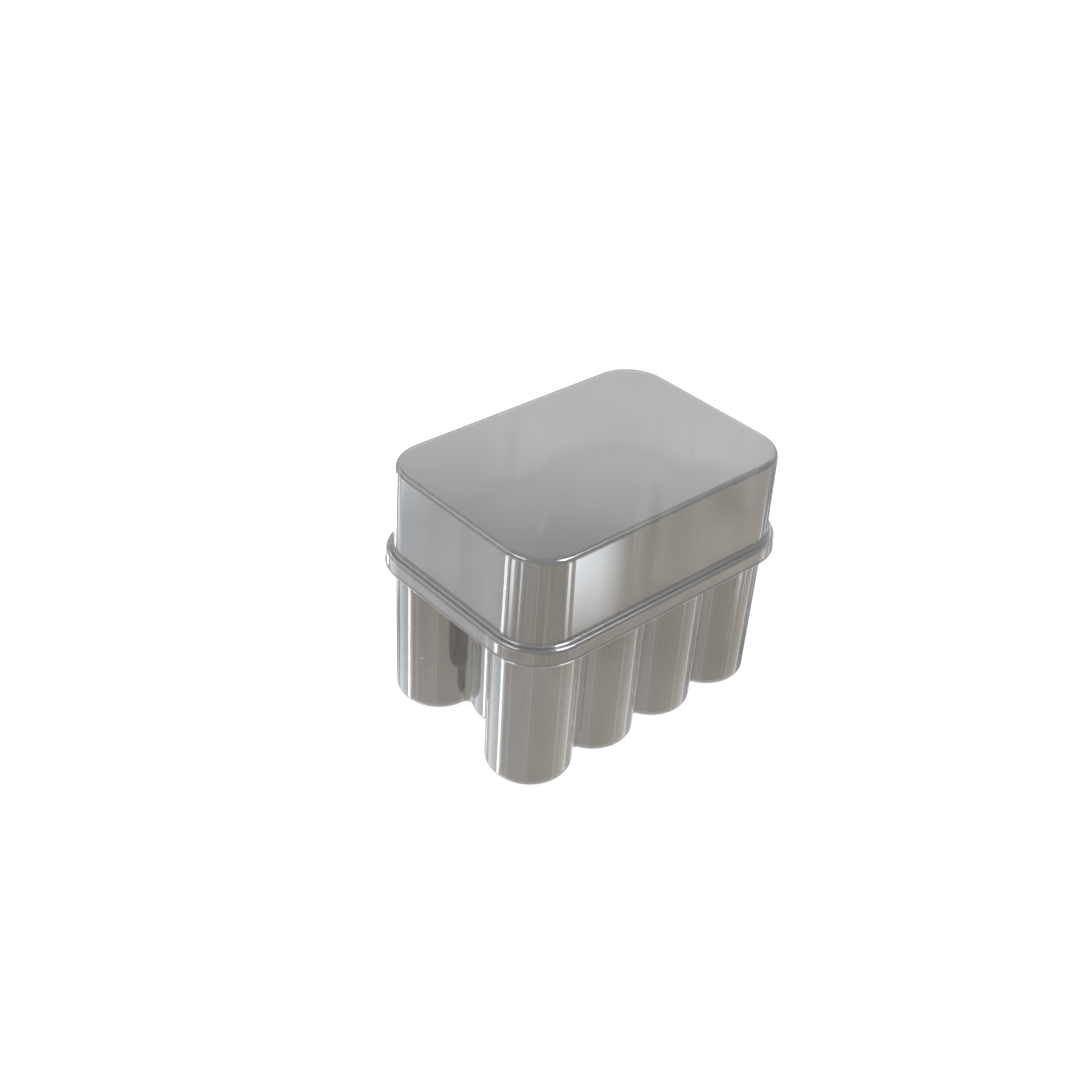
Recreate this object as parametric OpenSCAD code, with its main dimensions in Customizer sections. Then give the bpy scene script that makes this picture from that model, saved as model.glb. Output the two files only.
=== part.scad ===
// Storage container for ten small screw-cap vials, formed from clear sheet in two pieces.
// The tray's ten pockets stand in close-packed rows and run into one another, round a hollow
// pillar that is left in the middle as a six-pointed star. The lid is a deep cover whose
// shoulder sits on the tray's flange and whose skirt slips over the flange's edge.
// Millimetres, +Z up. The origin is on the table, under the middle of the tray.

/* [Vials] */
// Diameter of a vial
vial_d = 15; // [10:0.5:20]
// Height of a vial with its cap on
vial_h = 48; // [40:1:70]
// Gap between two neighbouring vials
vial_gap = 0.5; // [0.3:0.1:1.5]
// Play round a vial at the floor of its pocket
vial_play = 0.1; // [0.05:0.05:0.4]
// Room left above the caps under the lid
head_room = 1.6; // [0.5:0.1:4]

/* [Sheet] */
// Thickness of the formed sheet, the same in the tray and the lid
sheet_t = 0.5; // [0.3:0.05:0.6]

/* [Tray] */
// Height of the tray, from the table to the top of its flange
tray_h = 32.6; // [20:0.2:38]
// How much a pocket's radius grows from its floor to its mouth
pocket_draft = 0.2; // [0:0.05:0.6]
// Radius of the rounded edge where the flange turns down into a pocket
mouth_r = 0.7; // [0.65:0.05:1]
// Outside radius round the floor of a pocket
floor_r = 1.1; // [0.7:0.1:2]
// Radius in plan of the ridge between two pockets, just below the flange
ridge_r = 1.4; // [1.2:0.1:2.5]
// Width of the flat flange outside the outermost pockets
flange_w = 0.9; // [0.6:0.1:4]

/* [Lid] */
// Gap between the flange's edge and the inside of the skirt
skirt_gap = 0.25; // [0.1:0.05:0.6]
// How far the skirt reaches down from the shoulder's underside
skirt_h = 3.1; // [2:0.1:6]
// Distance from the skirt's outside in to the foot of the lid's wall
shoulder_w = 1.4; // [1:0.1:2.5]
// Outside radius where the shoulder turns down into the skirt
shoulder_r = 0.75; // [0.65:0.05:1]
// Radius of the inside corner between the lid's wall and its shoulder
neck_r = 0.2; // [0.1:0.05:0.4]
// How far the lid's wall leans in from its foot to its top
wall_draft = 0.3; // [0:0.05:1]
// Outside radius round the lid's top
top_r = 0.9; // [0.65:0.05:2]
// Height of the outward flare at the skirt's rim
flare_h = 0.6; // [0.3:0.1:0.9]
// Radius of that flare
flare_r = 1; // [1:0.1:2]
// Gap at which the lid's shoulder sits above the flange
seat_gap = 0.05; // [0:0.01:0.2]

/* [Hidden] */
$fn = 96;

// Steps along a rounded edge of the sheet, for each quarter turn
mouth_steps = 3;
floor_steps = 2;
lid_steps = 4;
// Largest turn in plan between two points of a pocket's or a ridge's outline, in degrees
plan_step = 12;
// Radius left on the tight side of a bend whose radius is no larger than the sheet
least_r = 0.05;
// How far a cutting form runs past the face that it opens
past = 1;

pitch = vial_d + vial_gap;
row = pitch * sqrt(3) / 2;
floor_pocket_r = vial_d / 2 + vial_play;
mouth_pocket_r = floor_pocket_r + pocket_draft;
mouth_edge_r = mouth_pocket_r + mouth_r;
flange_r = mouth_edge_r + flange_w;

function next(list, i) = list[(i + 1) % len(list)];
function before(list, i) = list[(i + len(list) - 1) % len(list)];
function reversed(list) = [for (i = [len(list) - 1 : -1 : 0]) list[i]];
function joined(lists) = [for (list = lists) each list];

// Pocket centres. Six stand in a ring round the pillar, and four at the tray's corners.
corner = [1.5 * pitch, row];
ring = [for (k = [0:5]) pitch * [cos(60 * k), sin(60 * k)]];
pockets = [
    corner, ring[1], ring[2], [-corner.x, corner.y], ring[3],
    -corner, ring[4], ring[5], [corner.x, -corner.y], ring[0]
];
function number_of(centre) = [for (i = [0 : len(pockets) - 1]) if (norm(pockets[i] - centre) < pitch / 2) i][0];
function is_corner(centre) = norm(centre) > 1.5 * pitch;

// A ridge's axis stands where it touches both of its pockets, and does so at every depth:
// as a pocket narrows towards its floor, the ridge widens by as much.
ridge_to_pocket = mouth_pocket_r + ridge_r;
ridge_reach = sqrt(pow(ridge_to_pocket, 2) - pow(pitch / 2, 2));
function ridge_axis(a, b) = let (d = (b - a) / norm(b - a)) (a + b) / 2 + ridge_reach * [d.y, -d.x];

function direction(from, to) = atan2((to - from).y, (to - from).x);
function turn(from, to) = (to - from + 720) % 360;

// Stations along a row of pockets, with the pockets on the left: each is the axis that the wall
// bends round, the direction out from it, and 1 on a pocket or -1 on the ridge after it.
function pocket_arc(list, i) = let (
        c = list[i],
        from = direction(c, ridge_axis(before(list, i), c)),
        span = turn(from, direction(c, ridge_axis(c, next(list, i)))),
        steps = ceil(span / plan_step)
    )
    [for (k = [0 : steps]) let (a = from + span * k / steps) [c, [cos(a), sin(a)], 1]];
function ridge_arc(list, i) = let (
        axis = ridge_axis(list[i], next(list, i)),
        from = direction(axis, list[i]),
        span = turn(direction(axis, next(list, i)), from),
        steps = 2 * ceil(span / plan_step / 4)
    )
    [for (k = [1 : steps - 1]) let (a = from - span * k / steps) [axis, [cos(a), sin(a)], -1]];

// The stations of one closed outline, in runs: a pocket's, then the ridge's after it, and so on
function runs(list) = joined([for (i = [0 : len(list) - 1]) [pocket_arc(list, i), ridge_arc(list, i)]]);

// The wall's point, in plan, at a station and at a pocket radius
function wall_point(station, r) =
    station[0] + station[1] * (station[2] > 0 ? r : ridge_to_pocket - r);

// The point of the flange's edge straight out from a point of the pockets' outline
function edge_point(p) = let (s = [sign(p.x), sign(p.y)], c = [s.x * corner.x, s.y * corner.y])
    abs(p.y) <= corner.y ? [c.x + s.x * flange_r, p.y]
    : abs(p.x) <= corner.x ? [p.x, c.y + s.y * flange_r]
    : c + flange_r * (p - c) / norm(p - c);

// Points of an arc in the plane of a profile, [radius, height]
function arc(centre, r, from, to, steps) = [
    for (i = [0 : steps])
        let (a = from + (to - from) * i / steps)
            centre + r * [cos(a), sin(a)]
];

// A pocket's wall as [radius, height], from its rounded floor up to the flange.
// out is 0 for the face that a vial meets and the sheet's thickness for the outside face.
function pocket_line(out) = concat(
    arc([floor_pocket_r + sheet_t - floor_r, floor_r], max(floor_r - sheet_t + out, least_r), -90, 0, floor_steps),
    arc([mouth_edge_r, tray_h - mouth_r], max(mouth_r - out, least_r), 180, 90, mouth_steps)
);

// Closes such a line against the axis, with its lower end carried on down
function closed(line, down) = concat(
    [[0, line[0].y - down], [line[0].x, line[0].y - down]],
    line,
    [[0, line[len(line) - 1].y]]
);

// A solid on a rounded rectangle whose corners are centred on the corner pockets.
// line gives its side as [distance out from those centres, height], from the bottom up.
module rounded_form(line, down = 0) {
    half = closed(line, down);
    rotate([90, 0, 90])
        linear_extrude(2 * corner.x, center = true)
            polygon(concat(
                [for (p = half) p + [corner.y, 0]],
                [for (i = [len(half) - 1 : -1 : 0]) [-corner.y - half[i].x, half[i].y]]
            ));
    for (side = [0, 180])
        rotate(side) {
            translate(corner)
                rotate([90, 0, 0])
                    linear_extrude(2 * corner.y)
                        polygon(half);
            translate(corner)
                rotate_extrude(angle = 90)
                    polygon(half);
            translate([corner.x, -corner.y])
                rotate(-90)
                    rotate_extrude(angle = 90)
                        polygon(half);
        }
}

// The tray is one skin round two outlines: the outer row of ten pockets, and the ring of six
// round the pillar, taken the other way so that the pockets are on the left there too.
outer_runs = runs(pockets);
pillar_pockets = reversed(ring);
pillar_runs = runs(pillar_pockets);
outer_stations = joined(outer_runs);
pillar_stations = joined(pillar_runs);

function level(stations, p) = [for (s = stations) let (w = wall_point(s, p.x)) [w.x, w.y, p.y]];
function edge_level(z) = [for (s = outer_stations) let (e = edge_point(wall_point(s, mouth_edge_r))) [e.x, e.y, z]];
function flat_level(points, z) = [for (p = points) [p.x, p.y, z]];

under_line = pocket_line(sheet_t);
inside_line = pocket_line(0);
pillar_levels = [for (p = under_line) level(pillar_stations, p)];
pillar_top_levels = [for (p = reversed(inside_line)) level(pillar_stations, p)];
outer_levels = concat(
    [for (p = under_line) level(outer_stations, p)],
    [edge_level(tray_h - sheet_t), edge_level(tray_h)],
    [for (p = reversed(inside_line)) level(outer_stations, p)]
);

// Faces between each level and the next, where the levels' points start at number first
function bands(first, count, levels) = [
    for (k = [0 : levels - 2], i = [0 : count - 1])
        let (a = first + k * count, b = a + count, j = (i + 1) % count)
            [a + i, b + i, b + j, a + j]
];

function flipped(faces) = [for (f = faces) reversed(f)];

// Faces that fill a level from a middle point
function fan(middle, first, count) = [for (i = [0 : count - 1]) [middle, first + i, first + (i + 1) % count]];

// Where each run's stations start
function starts(run_list) = [
    for (i = 0, n = 0; i < len(run_list); n = n + len(run_list[i]), i = i + 1) n
];

// Faces of a floor on one side of an outline: a fan in each pocket, and two round each ridge
// that meet on the line between its pockets. first is the outline's first point, and centres
// the number of the first pocket's centre point.
function floor_faces(list, run_list, first, centres) = let (
        start = starts(run_list),
        count = start[len(start) - 1] + len(run_list[len(run_list) - 1])
    )
    joined([
        for (i = [0 : len(list) - 1])
            let (
                a = centres + number_of(list[i]),
                b = centres + number_of(next(list, i)),
                from = start[2 * i],
                touch = from + len(run_list[2 * i]) - 1,
                steps = len(run_list[2 * i + 1]) + 1,
                half = touch + steps / 2
            )
            concat(
                [for (k = [from : half - 1]) [a, first + k, first + (k + 1) % count]],
                [for (k = [half : touch + steps - 1]) [b, first + k, first + (k + 1) % count]],
                [[a, first + half, b]]
            )
    ]);

// The flat between a corner pocket and its two neighbours
function corner_faces(centres) = [
    for (i = [0 : len(pockets) - 1]) if (is_corner(pockets[i]))
        [centres + number_of(before(pockets, i)), centres + i, centres + number_of(next(pockets, i))]
];

module tray() {
    outer_n = len(outer_stations);
    pillar_n = len(pillar_stations);
    pillar_first = outer_n * len(outer_levels);
    pillar_top_first = pillar_first + pillar_n * len(pillar_levels);
    under_centres = pillar_top_first + pillar_n * len(pillar_top_levels);
    floor_centres = under_centres + len(pockets);
    star_middle = floor_centres + len(pockets);
    points = concat(
        joined(outer_levels), joined(pillar_levels), joined(pillar_top_levels),
        flat_level(pockets, 0), flat_level(pockets, sheet_t),
        [[0, 0, tray_h - sheet_t], [0, 0, tray_h]]
    );
    faces = concat(
        bands(0, outer_n, len(outer_levels)),
        bands(pillar_first, pillar_n, len(pillar_levels)),
        bands(pillar_top_first, pillar_n, len(pillar_top_levels)),
        flipped(fan(star_middle, pillar_top_first - pillar_n, pillar_n)),
        fan(star_middle + 1, pillar_top_first, pillar_n),
        floor_faces(pockets, outer_runs, 0, under_centres),
        floor_faces(pillar_pockets, pillar_runs, pillar_first, under_centres),
        corner_faces(under_centres),
        flipped(floor_faces(pockets, outer_runs, outer_n * (len(outer_levels) - 1), floor_centres)),
        flipped(floor_faces(pillar_pockets, pillar_runs, under_centres - pillar_n, floor_centres)),
        flipped(corner_faces(floor_centres))
    );
    color([0.78, 0.79, 0.8, 0.5])
        polyhedron(points, faces);
}

// The lid, where it sits when closed
seat_z = tray_h + seat_gap;
rim_z = seat_z - skirt_h;
top_z = sheet_t + vial_h + head_room + sheet_t;
skirt_r = flange_r + skirt_gap + sheet_t;
wall_r = skirt_r - shoulder_w;
flare_z = rim_z + flare_h;

// The lid's side from its rim up to its top. out is 0 for the inside face.
function lid_line(out) =
    let (
        inset = sheet_t - out,
        flare = flare_r + inset,
        flare_turn = asin(flare_h / flare),
        shoulder = [skirt_r - shoulder_r, seat_z + sheet_t - shoulder_r],
        neck = [wall_r + neck_r, seat_z + sheet_t + neck_r],
        top = [wall_r - wall_draft - top_r, top_z - top_r]
    )
    concat(
        arc([skirt_r + flare_r, flare_z], flare, 180 + flare_turn, 180, lid_steps),
        arc(shoulder, max(shoulder_r - inset, least_r), 0, 90, lid_steps),
        arc(neck, neck_r + inset, 270, 180, lid_steps),
        arc(top, max(top_r - inset, least_r), 0, 90, lid_steps)
    );

module lid() {
    color([0.8, 0.81, 0.82, 0.4])
        difference() {
            rounded_form(lid_line(sheet_t));
            rounded_form(lid_line(0), past);
        }
}

tray();
lid();
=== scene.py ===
import math

import bmesh
import bpy
from mathutils import Matrix, Vector


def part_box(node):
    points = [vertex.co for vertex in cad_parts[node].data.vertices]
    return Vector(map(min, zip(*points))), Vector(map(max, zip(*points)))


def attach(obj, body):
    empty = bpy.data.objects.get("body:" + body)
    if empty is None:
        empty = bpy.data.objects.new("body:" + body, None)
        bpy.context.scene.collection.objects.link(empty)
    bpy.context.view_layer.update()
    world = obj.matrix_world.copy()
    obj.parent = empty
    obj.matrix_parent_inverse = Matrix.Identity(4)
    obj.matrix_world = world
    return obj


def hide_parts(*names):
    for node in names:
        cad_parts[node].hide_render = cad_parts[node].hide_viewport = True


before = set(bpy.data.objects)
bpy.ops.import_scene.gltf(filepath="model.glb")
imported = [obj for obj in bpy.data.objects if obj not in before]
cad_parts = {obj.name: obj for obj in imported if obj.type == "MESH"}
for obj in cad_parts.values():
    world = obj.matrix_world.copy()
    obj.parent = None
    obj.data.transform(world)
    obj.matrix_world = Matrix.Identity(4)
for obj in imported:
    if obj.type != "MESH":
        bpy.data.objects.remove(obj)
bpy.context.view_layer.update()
print("frame loaded: " + ", ".join(sorted(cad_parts)))

mm = 0.001
up = Vector((0, 0, 1))
rowShare = math.sqrt(0.75)      # distance between two close-packed rows, in pitches
cornerShare = 1.5               # distance of the corner pockets from the middle, in pitches

# The frame's box gives the pitch of the pockets, and the middles of the four corner pockets
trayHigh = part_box("tray")[1]
lidLow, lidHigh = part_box("lid")
pitch = (trayHigh.x - trayHigh.y) / (cornerShare - rowShare)
cornerPocket = Vector((cornerShare * pitch, rowShare * pitch, 0))
flangeRadius = trayHigh.x - cornerPocket.x

weld = 0.002 * mm               # points nearer than this are merged
sameHeight = 0.001 * mm
cutAngle = 60                   # an edge sharper than this, in degrees, is a cut edge

# The photograph's camera
camera = {
    "place": (-0.16512, -0.16268, 0.19199),
    "azimuth": 43.42,           # direction of the view, clockwise from +Y
    "elevation": 34.78,         # how far it looks down
    "roll": 3.85,
    "lens": 50.02,
}


def makeCamera(c):
    data = bpy.data.cameras.new("camera")
    data.lens = c["lens"]
    data.clip_start = 0.01
    data.clip_end = 20
    shooter = bpy.data.objects.new("camera", data)
    bpy.context.scene.collection.objects.link(shooter)
    turn = (
        Matrix.Rotation(-math.radians(c["azimuth"]), 4, "Z")
        @ Matrix.Rotation(math.radians(90 - c["elevation"]), 4, "X")
        @ Matrix.Rotation(math.radians(c["roll"]), 4, "Z")
    )
    shooter.matrix_world = Matrix.Translation(c["place"]) @ turn
    bpy.context.scene.camera = shooter


# A skin is drawn as one line of its profile, which is then swept round in plan


def edgesIn(geom):
    return [g for g in geom if isinstance(g, bmesh.types.BMEdge)]


def vertsIn(geom):
    return [g for g in geom if isinstance(g, bmesh.types.BMVert)]


def arcOf(bm, vert, centre, axis, degrees, steps):
    turn = math.radians(degrees)
    made = bmesh.ops.spin(bm, geom=[vert], cent=centre, axis=axis, angle=turn, steps=steps)
    return vertsIn(made["geom_last"])[0]


def lineTo(bm, vert, place):
    made = bmesh.ops.extrude_vert_indiv(bm, verts=[vert])
    made["verts"][0].co = place
    return made["verts"][0]


def sweepTurn(bm, chain, centre, degrees, stepDegrees):
    steps = max(2, math.ceil(abs(degrees) / stepDegrees))
    turn = math.radians(degrees)
    made = bmesh.ops.spin(bm, geom=chain, cent=centre, axis=up, angle=turn, steps=steps)
    return made["geom_last"]


def sweepStraight(bm, chain, travel):
    made = bmesh.ops.extrude_edge_only(bm, edges=edgesIn(chain))["geom"]
    verts, edges = vertsIn(made), edgesIn(made)
    bmesh.ops.translate(bm, vec=travel, verts=verts)
    last = set(verts)
    return verts + [e for e in edges if e.verts[0] in last and e.verts[1] in last]


def openEdgesAt(bm, height, near=math.inf, far=0):
    return [
        e for e in bm.edges
        if len(e.link_faces) < 2
        and all(abs(v.co.z - height) < sameHeight and far < v.co.xy.length < near for v in e.verts)
    ]


def fillFlat(bm, edges):
    bmesh.ops.triangle_fill(bm, use_beauty=True, edges=edges, normal=up)


def finishSheet(bm, name, sheet, softness, body, node, material):
    bmesh.ops.recalc_face_normals(bm, faces=bm.faces)
    highest = max(bm.faces, key=lambda f: f.calc_center_median().z)
    if highest.normal.z < 0:
        bmesh.ops.reverse_faces(bm, faces=bm.faces)
    for face in bm.faces:
        face.smooth = True
    mesh = bpy.data.meshes.new(name)
    bm.to_mesh(mesh)
    bm.free()
    piece = bpy.data.objects.new(name, mesh)
    bpy.context.scene.collection.objects.link(piece)
    mesh.materials.append(material)

    wall = piece.modifiers.new("thickness", "SOLIDIFY")
    wall.thickness = sheet
    wall.offset = -1
    wall.use_even_offset = True
    wall.use_quality_normals = True
    edge = piece.modifiers.new("cut edge", "BEVEL")
    edge.width = softness
    edge.segments = 3
    edge.limit_method = "ANGLE"
    edge.angle_limit = math.radians(cutAngle)
    normals = piece.modifiers.new("flat stays flat", "WEIGHTED_NORMAL")
    normals.weight = 60             # of 100: large faces lead over small ones

    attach(piece, body)
    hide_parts(node)
    print(f"{name}: {len(mesh.polygons)} faces before its thickness")
    return piece


tray = {
    "sheet": 0.5 * mm,
    "flangeWidth": 0.9 * mm,        # flat outside the outermost pockets
    "mouthRadius": 0.7 * mm,        # where the flange turns down
    "ridgeRadius": 1.4 * mm,        # between two pockets, just below the flange
    "draft": 0.2 * mm,              # a pocket's radius, from its floor to its mouth
    "floorRadius": 0.6 * mm,        # inside, round the floor of a pocket
    "cutEdge": 0.18 * mm,
    "pocketStep": 4,                # degrees in plan
    "ridgeStep": 9,
    "filletSteps": 7,
}


def ridgeAxis(a, b, reach):
    along = (b - a).normalized()
    return (a + b) / 2 + reach * Vector((along.y, -along.x, 0))


def turnBetween(centre, start, end):
    first, last = start - centre, end - centre
    return math.degrees(math.atan2(last.y, last.x) - math.atan2(first.y, first.x)) % 360


def pocketProfile(bm, t, centre, out):
    mouthEdge = flangeRadius - t["flangeWidth"]
    mouth = mouthEdge - t["mouthRadius"]
    floorEdge = mouth - t["draft"] - t["floorRadius"]
    inwards = out.cross(up)
    foot = bmesh.ops.create_vert(bm, co=centre + out * floorEdge + up * t["sheet"])["vert"][0]
    bend = arcOf(
        bm, foot, centre + out * floorEdge + up * (t["sheet"] + t["floorRadius"]),
        inwards, 90, t["filletSteps"],
    )
    top = lineTo(bm, bend, centre + out * mouth + up * (trayHigh.z - t["mouthRadius"]))
    arcOf(
        bm, top, centre + out * mouthEdge + up * (trayHigh.z - t["mouthRadius"]),
        inwards, -90, t["filletSteps"],
    )


def pocketRow(t, centres):
    bm = bmesh.new()
    toPocket = flangeRadius - t["flangeWidth"] - t["mouthRadius"] + t["ridgeRadius"]
    reach = math.sqrt(toPocket ** 2 - (pitch / 2) ** 2)
    count = len(centres)
    ridges = [ridgeAxis(centres[i], centres[(i + 1) % count], reach) for i in range(count)]
    pocketProfile(bm, t, centres[0], (ridges[-1] - centres[0]).normalized())
    chain = list(bm.verts) + list(bm.edges)
    for i in range(count):
        pocketTurn = turnBetween(centres[i], ridges[i - 1], ridges[i])
        chain = sweepTurn(bm, chain, centres[i], pocketTurn, t["pocketStep"])
        ridgeTurn = turnBetween(ridges[i], centres[(i + 1) % count], centres[i])
        chain = sweepTurn(bm, chain, ridges[i], -ridgeTurn, t["ridgeStep"])
    bmesh.ops.remove_doubles(bm, verts=bm.verts, dist=weld)
    mesh = bpy.data.meshes.new("row")
    bm.to_mesh(mesh)
    bm.free()
    return mesh


def flangeOutline(bm, t):
    corners = [
        (Vector((sx * cornerPocket.x, sy * cornerPocket.y, trayHigh.z)), Vector((ox, oy, 0)))
        for sx, sy, ox, oy in ((1, 1, 1, 0), (-1, 1, 0, 1), (-1, -1, -1, 0), (1, -1, 0, -1))
    ]
    vert = bmesh.ops.create_vert(bm, co=corners[0][0] + corners[0][1] * flangeRadius)["vert"][0]
    first = vert
    steps = math.ceil(90 / t["pocketStep"])
    for i, (centre, out) in enumerate(corners):
        vert = arcOf(bm, vert, centre, up, 90, steps)
        following, nextOut = corners[(i + 1) % len(corners)]
        if i < len(corners) - 1:
            vert = lineTo(bm, vert, following + nextOut * flangeRadius)
    bmesh.ops.contextual_create(bm, geom=[vert, first])


def buildTray(t, material):
    turns = [math.radians(60 * k) for k in range(6)]
    ring = [pitch * Vector((math.cos(turn), math.sin(turn), 0)) for turn in turns]
    right, left = cornerPocket, Vector((-cornerPocket.x, cornerPocket.y, 0))
    outside = [right, ring[1], ring[2], left, ring[3], -right, ring[4], ring[5], -left, ring[0]]
    bm = bmesh.new()
    for centres in (outside, list(reversed(ring))):
        row = pocketRow(t, centres)
        bm.from_mesh(row)
        bpy.data.meshes.remove(row)
    fillFlat(bm, openEdgesAt(bm, t["sheet"]))
    fillFlat(bm, openEdgesAt(bm, trayHigh.z, near=pitch))
    flangeOutline(bm, t)
    fillFlat(bm, openEdgesAt(bm, trayHigh.z, far=pitch))
    return finishSheet(bm, "formedTray", t["sheet"], t["cutEdge"], "tray", "tray", material)


lid = {
    "sheet": 0.5 * mm,
    "flareRadius": 0.4 * mm,        # of the small lip at the skirt's rim
    "flareTurn": 60,
    "shoulder": 1.4 * mm,           # from the skirt's outside in to the wall's foot
    "shoulderRadius": 0.85 * mm,
    "seat": 0.05 * mm,              # above the tray's flange
    "neckRadius": 0.5 * mm,
    "draft": 0.3 * mm,              # how far the wall leans in
    "topRadius": 0.9 * mm,
    "cutEdge": 0.045 * mm,          # less than one step of the lip
    "turnStep": 3,
    "filletSteps": 8,
}


def lidProfile(bm, d, centre, out):
    flareReach = d["flareRadius"] * (1 - math.cos(math.radians(d["flareTurn"])))
    flareRise = d["flareRadius"] * math.sin(math.radians(d["flareTurn"]))
    rim = lidLow.z + d["sheet"] * math.sin(math.radians(d["flareTurn"]))
    skirt = lidHigh.x - cornerPocket.x - flareReach
    wall = skirt - d["shoulder"]
    shoulderTop = trayHigh.z + d["seat"] + d["sheet"]
    inwards = out.cross(up)

    def at(radius, height):
        return centre + out * radius + up * height

    vert = bmesh.ops.create_vert(bm, co=at(skirt + flareReach, rim))["vert"][0]
    flareMiddle = at(skirt + d["flareRadius"], rim + flareRise)
    vert = arcOf(bm, vert, flareMiddle, inwards, -d["flareTurn"], d["filletSteps"])
    vert = lineTo(bm, vert, at(skirt, shoulderTop - d["shoulderRadius"]))
    shoulderMiddle = at(skirt - d["shoulderRadius"], shoulderTop - d["shoulderRadius"])
    vert = arcOf(bm, vert, shoulderMiddle, inwards, 90, d["filletSteps"])
    vert = lineTo(bm, vert, at(wall + d["neckRadius"], shoulderTop))
    neckMiddle = at(wall + d["neckRadius"], shoulderTop + d["neckRadius"])
    vert = arcOf(bm, vert, neckMiddle, inwards, -90, d["filletSteps"])
    wallTop = wall - d["draft"]
    vert = lineTo(bm, vert, at(wallTop, lidHigh.z - d["topRadius"]))
    topMiddle = at(wallTop - d["topRadius"], lidHigh.z - d["topRadius"])
    arcOf(bm, vert, topMiddle, inwards, 90, d["filletSteps"])


def buildLid(d, material):
    bm = bmesh.new()
    x, y = cornerPocket.x, cornerPocket.y
    lidProfile(bm, d, Vector((x, -y, 0)), Vector((1, 0, 0)))
    chain = list(bm.verts) + list(bm.edges)
    for centre, travel in (
        (Vector((x, y, 0)), Vector((0, 2 * y, 0))),
        (Vector((-x, y, 0)), Vector((-2 * x, 0, 0))),
        (Vector((-x, -y, 0)), Vector((0, -2 * y, 0))),
        (Vector((x, -y, 0)), Vector((2 * x, 0, 0))),
    ):
        chain = sweepStraight(bm, chain, travel)
        chain = sweepTurn(bm, chain, centre, 90, d["turnStep"])
    bmesh.ops.remove_doubles(bm, verts=bm.verts, dist=weld)
    fillFlat(bm, openEdgesAt(bm, lidHigh.z))
    return finishSheet(bm, "formedLid", d["sheet"], d["cutEdge"], "lid", "lid", material)


# Materials

clearSheet = {
    "tint": (0.47, 0.47, 0.47),        # what one face of the sheet lets through, head on
    "edgeTint": (0.25, 0.25, 0.25),    # and at its edge, where the way through is longer
    "hazeColour": (0.55, 0.55, 0.545),
    "mirroredTint": (0.74, 0.74, 0.74),    # what a face lets through in a mirror image
    "mirroredPaintedGlow": (0.06, 0.06, 0.06),   # and the painted glow that it adds there
    "roughness": 0.02,
    "haze": 0.03,
    "headOnGloss": 0.055,
    "glossRise": 5,                    # the gloss grows with this power of the slant
}


def addNode(tree, kind, **values):
    node = tree.nodes.new("ShaderNode" + kind)
    for key, value in values.items():
        setattr(node, key, value)
    return node


def mathNode(tree, operation, first, second):
    node = addNode(tree, "Math", operation=operation)
    for socket, value in zip(node.inputs, (first, second)):
        if isinstance(value, (int, float)):
            socket.default_value = value
        else:
            tree.links.new(value, socket)
    return node.outputs[0]


def rangeNode(tree, value, none, full):
    node = addNode(tree, "MapRange", interpolation_type="SMOOTHSTEP")
    tree.links.new(value, node.inputs["Value"])
    node.inputs["From Min"].default_value = none
    node.inputs["From Max"].default_value = full
    return node.outputs[0]


def sheetMaterial(name, s):
    material = bpy.data.materials.new(name)
    material.use_nodes = True
    tree = material.node_tree
    tree.nodes.clear()
    link = tree.links.new
    output = addNode(tree, "OutputMaterial")
    facing = addNode(tree, "LayerWeight")
    facing.inputs["Blend"].default_value = 0.5
    rise = mathNode(tree, "POWER", facing.outputs["Facing"], s["glossRise"])
    slanted = mathNode(tree, "MULTIPLY", rise, 1 - s["headOnGloss"])
    gloss = mathNode(tree, "ADD", slanted, s["headOnGloss"])

    clear = addNode(tree, "BsdfTransparent")
    clear.inputs["Color"].default_value = (*s["tint"], 1)
    deeper = addNode(tree, "BsdfTransparent")
    deeper.inputs["Color"].default_value = (*s["edgeTint"], 1)
    through = addNode(tree, "MixShader")
    link(facing.outputs["Facing"], through.inputs["Fac"])
    link(clear.outputs[0], through.inputs[1])
    link(deeper.outputs[0], through.inputs[2])
    cloudy = addNode(tree, "BsdfDiffuse")
    cloudy.inputs["Color"].default_value = (*s["hazeColour"], 1)
    body = addNode(tree, "MixShader")
    body.inputs["Fac"].default_value = s["haze"]
    link(through.outputs[0], body.inputs[1])
    link(cloudy.outputs[0], body.inputs[2])

    shine = addNode(tree, "BsdfAnisotropic")
    shine.inputs["Color"].default_value = (1, 1, 1, 1)
    shine.inputs["Roughness"].default_value = s["roughness"]
    surface = addNode(tree, "MixShader")
    link(gloss, surface.inputs["Fac"])
    link(body.outputs[0], surface.inputs[1])
    link(shine.outputs[0], surface.inputs[2])

    # In a mirror image the sheet is lighter and gives off a painted glow, so that the walls show the
    # studio through one another
    lighter = addNode(tree, "BsdfTransparent")
    lighter.inputs["Color"].default_value = (*s["mirroredTint"], 1)
    # painted glow: an emission on the sheet, seen only in mirror images
    paintedGlow = addNode(tree, "Emission")
    paintedGlow.inputs["Color"].default_value = (*s["mirroredPaintedGlow"], 1)
    lit = addNode(tree, "AddShader")
    link(lighter.outputs[0], lit.inputs[0])
    link(paintedGlow.outputs[0], lit.inputs[1])
    mirrored = addNode(tree, "MixShader")
    link(gloss, mirrored.inputs["Fac"])
    link(lit.outputs[0], mirrored.inputs[1])
    link(shine.outputs[0], mirrored.inputs[2])
    path = addNode(tree, "LightPath")
    seen = addNode(tree, "MixShader")
    link(path.outputs["Is Glossy Ray"], seen.inputs["Fac"])
    link(surface.outputs[0], seen.inputs[1])
    link(mirrored.outputs[0], seen.inputs[2])
    link(seen.outputs[0], output.inputs["Surface"])
    return material


# Stage: a white light table, and a studio that only reflections and shadows see

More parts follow.
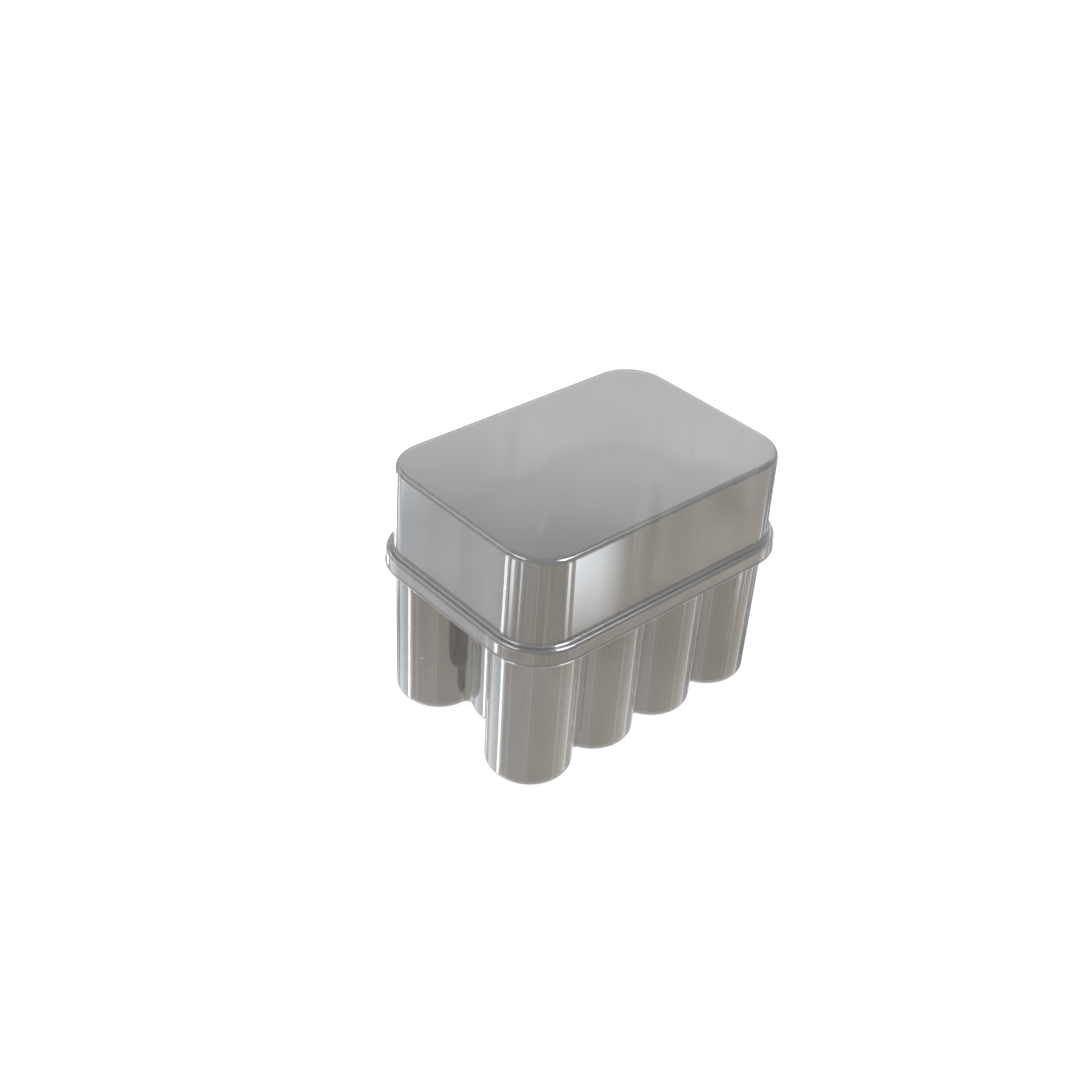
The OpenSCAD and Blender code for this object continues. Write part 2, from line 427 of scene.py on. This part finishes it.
studio = {
    "floorSize": 6,
    "tableGlow": 0.9,
    "tableColour": 0.1,
    "below": (1.5, 1.45, 1.4),          # the studio's own brightness, straight down
    "above": (1.75, 1.77, 1.8),         # and straight up
    "stripes": 1.2,                     # how much the walls' fine stripes vary
    "stripeScale": 0.35,                # noise features in a degree
    "stripeTop": -29,                   # in degrees of height: no stripes above this
    "stripeFoot": -32,                  # and full stripes below this
    "threadColour": (8, 8.8, 9.6),      # narrow lamps, low down, that show best on the inner walls
    "threadScale": 0.05,
    "threadShare": (0.56, 0.66),        # of the noise: dark below, full light above
    "threadTop": -31,
    "threadFull": (-32.5, -33.5),       # full light between these, then fading to the foot
    "threadFoot": -38,
}

# Soft boxes, and flags that take light: azimuth clockwise from +Y and height, how wide and high they
# are, how soft they are across and upwards, all in degrees, and the light that they add
softBoxes = {
    "leftStrip": (-52, -61, 8, 59, 1, 1, (9.0, 9.4, 9.8)),
    "leftWindow": (-32, -25.5, 16, 9, 6, 3.5, (9.2, 9.7, 10.2)),
    "leftGlow": (-30, -60, 40, 60, 5, 4, (1.7, 1.85, 2.0)),
    "leftThread": (-78, -76, 4, 90, 1.5, 1, (0.9, 0.9, 0.9)),
    "cornerWarm": (-74, -25, 44, 12, 14, 4, (1.3, 1.05, 0.85)),
    "frontGlow": (-90, -35, 86, 80, 18, 10, (1.5, 1.36, 1.22)),
    "frontThread": (-133, -76, 2.5, 90, 1, 1, (0.9, 0.8, 0.7)),
    "warmWall": (170, -56, 120, 62, 25, 8, (1.35, 1.14, 0.86)),
    "rightThread": (150, -76, 2.5, 90, 1, 1, (1.4, 1.3, 1.2)),
    "rightStrip": (112, -76, 5, 90, 1.5, 1, (1.6, 1.7, 1.8)),
    "rightFlag": (94, -25, 16, 100, 4, 4, (-0.4, -0.4, -0.35)),
    "backStrip": (70, -76, 4, 90, 1.5, 1, (1.2, 1.3, 1.4)),
    "backFlag": (45, -50, 84, 60, 12, 8, (-0.85, -0.82, -0.78)),
    "backThread": (12, -76, 4, 90, 1.5, 1, (2.0, 2.2, 2.4)),
    "innerFlag": (0, -35, 400, 10, 1, 2, (-0.6, -0.6, -0.6)),
    "horizonFlag": (0, 8, 400, 12, 1, 5, (-0.8, -0.8, -0.8)),
    "backTop": (43, 30, 120, 8, 6, 4, (1.9, 1.9, 1.9)),
    "rightTop": (145, 54, 40, 24, 8, 5, (26, 26, 26)),
    "leftTop": (-72, 53, 44, 18, 4, 4, (11, 10.4, 10.4)),
    "leftTopGlow": (-28, 34, 46, 40, 8, 8, (2.4, 2.3, 2.3)),
}


def softBox(tree, azimuth, height, box):
    atAzimuth, atHeight, wide, high, softAcross, softUp, colour = box
    wrapped = addNode(tree, "Math", operation="WRAP")
    tree.links.new(mathNode(tree, "SUBTRACT", azimuth, atAzimuth), wrapped.inputs[0])
    wrapped.inputs[1].default_value = 180
    wrapped.inputs[2].default_value = -180
    shares = []
    for value, half, soft in (
        (wrapped.outputs[0], wide / 2, softAcross),
        (mathNode(tree, "SUBTRACT", height, atHeight), high / 2, softUp),
    ):
        away = mathNode(tree, "ABSOLUTE", value, 0)
        shares.append(rangeNode(tree, away, half + soft, max(half - soft, 0)))
    light = addNode(tree, "VectorMath", operation="SCALE")
    light.inputs[0].default_value = colour
    tree.links.new(mathNode(tree, "MULTIPLY", *shares), light.inputs["Scale"])
    return light.outputs[0]


def makeStudio(s):
    world = bpy.data.worlds.new("studio")
    bpy.context.scene.world = world
    world.use_nodes = True
    tree = world.node_tree
    tree.nodes.clear()
    link = tree.links.new
    place = addNode(tree, "TexCoord")
    split = addNode(tree, "SeparateXYZ")
    link(place.outputs["Generated"], split.inputs[0])
    turned = mathNode(tree, "ARCTAN2", split.outputs["X"], split.outputs["Y"])
    azimuth = mathNode(tree, "MULTIPLY", turned, math.degrees(1))
    risen = mathNode(tree, "ARCSINE", split.outputs["Z"], 0)
    height = mathNode(tree, "MULTIPLY", risen, math.degrees(1))
    base = addNode(tree, "Mix", data_type="RGBA")
    link(mathNode(tree, "ADD", mathNode(tree, "DIVIDE", height, 180), 0.5), base.inputs["Factor"])
    base.inputs[6].default_value = (*s["below"], 1)
    base.inputs[7].default_value = (*s["above"], 1)
    stripes = addNode(tree, "TexNoise", noise_dimensions="1D")
    stripes.inputs["Scale"].default_value = s["stripeScale"]
    stripes.inputs["Detail"].default_value = 4
    link(azimuth, stripes.inputs["W"])
    varied = addNode(tree, "VectorMath", operation="SCALE")
    link(base.outputs[2], varied.inputs[0])
    centred = mathNode(tree, "SUBTRACT", stripes.outputs[0], 0.5)
    offset = mathNode(tree, "MULTIPLY", centred, s["stripes"])
    low = rangeNode(tree, height, s["stripeTop"], s["stripeFoot"])
    link(mathNode(tree, "ADD", mathNode(tree, "MULTIPLY", offset, low), 1), varied.inputs["Scale"])
    threads = addNode(tree, "TexNoise", noise_dimensions="1D")
    threads.inputs["Scale"].default_value = s["threadScale"]
    threads.inputs["Detail"].default_value = 2
    link(azimuth, threads.inputs["W"])
    crisp = rangeNode(tree, threads.outputs[0], *s["threadShare"])
    band = mathNode(
        tree, "MULTIPLY",
        rangeNode(tree, height, s["threadTop"], s["threadFull"][0]),
        rangeNode(tree, height, s["threadFoot"], s["threadFull"][1]),
    )
    threadLight = addNode(tree, "VectorMath", operation="SCALE")
    threadLight.inputs[0].default_value = s["threadColour"]
    link(mathNode(tree, "MULTIPLY", crisp, band), threadLight.inputs["Scale"])
    withThreads = addNode(tree, "VectorMath", operation="ADD")
    link(varied.outputs[0], withThreads.inputs[0])
    link(threadLight.outputs[0], withThreads.inputs[1])
    light = withThreads.outputs[0]
    for box in softBoxes.values():
        total = addNode(tree, "VectorMath", operation="ADD")
        link(light, total.inputs[0])
        link(softBox(tree, azimuth, height, box), total.inputs[1])
        light = total.outputs[0]
    reflected = addNode(tree, "Background")
    link(light, reflected.inputs["Color"])
    white = addNode(tree, "Background")
    white.inputs["Color"].default_value = (1, 1, 1, 1)
    path = addNode(tree, "LightPath")
    mixed = addNode(tree, "MixShader")
    link(path.outputs["Is Camera Ray"], mixed.inputs["Fac"])
    link(reflected.outputs[0], mixed.inputs[1])
    link(white.outputs[0], mixed.inputs[2])
    output = addNode(tree, "OutputWorld")
    link(mixed.outputs[0], output.inputs["Surface"])


def makeFloor(s):
    bm = bmesh.new()
    bmesh.ops.create_grid(bm, x_segments=1, y_segments=1, size=s["floorSize"] / 2)
    mesh = bpy.data.meshes.new("lightTable")
    bm.to_mesh(mesh)
    bm.free()
    floor = bpy.data.objects.new("lightTable", mesh)
    bpy.context.scene.collection.objects.link(floor)
    floor.location.z = -0.01 * mm
    floor.visible_glossy = False        # the sheet mirrors the studio below the table's level too
    material = bpy.data.materials.new("lightTable")
    material.use_nodes = True
    tree = material.node_tree
    tree.nodes.clear()
    glow = addNode(tree, "Emission")
    glow.inputs["Color"].default_value = (1, 1, 1, 1)
    glow.inputs["Strength"].default_value = s["tableGlow"]
    matt = addNode(tree, "BsdfDiffuse")
    matt.inputs["Color"].default_value = (*[s["tableColour"]] * 3, 1)
    both = addNode(tree, "AddShader")
    tree.links.new(glow.outputs[0], both.inputs[0])
    tree.links.new(matt.outputs[0], both.inputs[1])
    output = addNode(tree, "OutputMaterial")
    tree.links.new(both.outputs[0], output.inputs["Surface"])
    mesh.materials.append(material)


makeCamera(camera)
makeStudio(studio)
makeFloor(studio)
print("camera, studio and light table made")

bpy.context.scene.view_settings.view_transform = "Standard"
bpy.context.scene.cycles.transparent_max_bounces = 48

trayPiece = buildTray(tray, sheetMaterial("clearTraySheet", clearSheet))
lidPiece = buildLid(lid, sheetMaterial("clearLidSheet", clearSheet))
